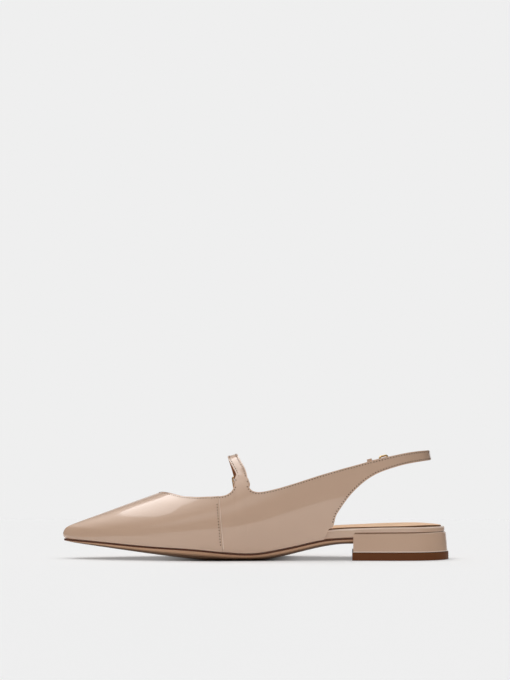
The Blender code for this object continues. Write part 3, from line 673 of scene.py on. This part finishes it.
# Buckles: small cast frames with a round prong, plated in pale gold and polished. Each frame hangs
# in its chape, and the prong goes through a hole of the strap.
GOLD_TONE = (0.83, 0.58, 0.27)
GOLD_DEEP = (0.76, 0.51, 0.22)
gold, shader, wire = finish_of("gold_plate", Roughness=0.22, Metallic=1.0)
tint(wire, shader, GOLD_TONE, GOLD_DEEP, clouds=400.0)
for node in ("instep_buckle", "instep_prong", "sling_buckle", "sling_prong"):
    metal = cut_out(node, node + "_gold", gold)
    round_off(metal, sharp=70.0)

# Floor: a sheet of pale paper that the shoe stands on. Under the toe and the arch it glows a
# little, painted light that keeps the shadow there pale, and not at the ball, where the shadow is
# black.
FLOOR_PLACE, FLOOR_SIZE = (0.0, -0.1, -0.0002), (0.56, 1.6, 1.0)
PAPER_WHITE, PAPER_SHOWN, GLOW = 0.891, 0.863, 0.26
TOE_GLOW, ARCH_GLOW = (-0.030, -0.075), (0.005, 0.035)


def between(value, start, stop, kind="SMOOTHSTEP"):
    """0 before start, 1 after stop."""
    return value.node("MapRange", {"interpolation_type": kind}, {0: value, 1: start, 2: stop})


bpy.ops.object.select_all(action="DESELECT")
bpy.ops.mesh.primitive_plane_add(size=1.0, location=FLOOR_PLACE)
floor = bpy.context.active_object
bpy.ops.object.mode_set(mode="EDIT")
bpy.ops.transform.resize(value=FLOOR_SIZE)
bpy.ops.object.mode_set(mode="OBJECT")
bpy.ops.object.transform_apply()
floor.name = "studio_floor"
paper, shader, wire = finish_of(
    "studio_paper", Roughness=0.9, Specular_IOR_Level=0.0, Emission_Strength=1.0
)
place = wire.node("TexCoord", {}, {}, "Object")
lengthwise = wire.node("SeparateXYZ", {}, {0: place}, "X")
# Painted light: the paper glows under the toe and the arch, and its colour is darkened there to
# keep the lit paper even.
through = GLOW * (between(lengthwise, *TOE_GLOW) + between(lengthwise, *ARCH_GLOW))
wire.tree.links.new(through.socket, shader.inputs["Emission Color"])
reflected = PAPER_WHITE * (1.0 - through / PAPER_SHOWN)
wire.tree.links.new(reflected.socket, shader.inputs["Base Color"])
floor.data.materials.append(paper)

# Light: a soft dome, dark towards the room, with a pale backdrop behind the shoe, a bright ceiling,
# two softboxes above the toe, and a low white board and a strip light in front.
ROOM_DARK, ROOM_PALE = 0.02, 0.09
BACKDROP, CEILING, WHITE_BOARD, STRIP = 0.75, 1.5, 0.85, 0.7
LONG_BOX, LONG_BOX_NEAR, SHORT_BOX = 2.7, 0.6, 2.0
world = bpy.data.worlds.new("studio_dome")
bpy.context.scene.world = world
world.use_nodes = True
tree = world.node_tree
tree.nodes.clear()
wire = Wire(tree)
direction = wire.node("TexCoord", {}, {}, "Generated")
across = wire.node("SeparateXYZ", {}, {0: direction}, "X")
depth = wire.node("SeparateXYZ", {}, {0: direction}, "Y")
height = wire.node("SeparateXYZ", {}, {0: direction}, "Z")
aside = across * across
room = ROOM_DARK + ROOM_PALE * between(aside, 0.6, 0.25)
backdrop = between(depth, 0.3, 0.65) * between(height, 0.6, 0.1) * between(aside, 0.3, 0.12)
ceiling = between(height, 0.5, 1.0)
facing = between(aside, 0.5, 0.12)
white_board = facing * between(depth, -0.2, -0.4) * between(height, 0.09, 0.07)
strip = between(depth, -0.6, -0.8) * between(height, 0.30, 0.42) * between(height, 0.58, 0.48)
strip = facing * strip

# The softboxes are drawn on a ceiling one unit up, in places to the side and along the depth.
side, length = across / height, depth / height
overhead = between(height, 0.1, 0.12)
long_box = between(side - 0.36 * length, -0.405, -0.435) * overhead
long_box = long_box * between(side - 0.117 * length, -0.665, -0.625)
long_box = long_box * between(side - 0.32 * length, -0.78, -0.74)
long_box = long_box * between(length, -0.64, -0.58) * between(length, 1.2, 1.0)
fade = LONG_BOX_NEAR + (1.0 - LONG_BOX_NEAR) * between(length, -0.6, 0.5, "LINEAR")
short_box = between(side, -0.25, -0.30) * between(side, -0.60, -0.50) * overhead
short_box = short_box * between(length, -0.41, -0.35) * between(length, 0.2, 0.1)
boxes = wire.math("MAXIMUM", LONG_BOX * fade * long_box, SHORT_BOX * short_box)
radiance = room + BACKDROP * backdrop + WHITE_BOARD * white_board + STRIP * strip
radiance = radiance + CEILING * ceiling + boxes

white, shown = (1.0, 1.0, 1.0, 1.0), (PAPER_SHOWN, PAPER_SHOWN, PAPER_SHOWN, 1.0)
lit = wire.node("Background", {}, {"Color": white, "Strength": radiance})
plain = wire.node("Background", {}, {"Color": shown, "Strength": 1.0})
seen = wire.node("LightPath", {}, {}, "Is Camera Ray")
both = wire.node("MixShader", {}, {0: seen, 1: lit, 2: plain})
end = tree.nodes.new("ShaderNodeOutputWorld")
tree.links.new(both.socket, end.inputs["Surface"])

# Camera: level with the top of the shoe and a little behind its middle, as in the photograph, with
# a long lens.
EYE = Vector((0.0659, -1.6317, 0.0899))
AIM = Vector((-0.0003, 0.0, 0.1522))
LENS = 123.65
bpy.ops.object.select_all(action="DESELECT")
bpy.ops.object.camera_add(location=EYE)
camera = bpy.context.active_object
camera.rotation_euler = (AIM - EYE).to_track_quat("-Z", "Y").to_euler()
camera.data.lens = LENS
bpy.context.scene.camera = camera
bpy.context.scene.view_settings.view_transform = "Standard"
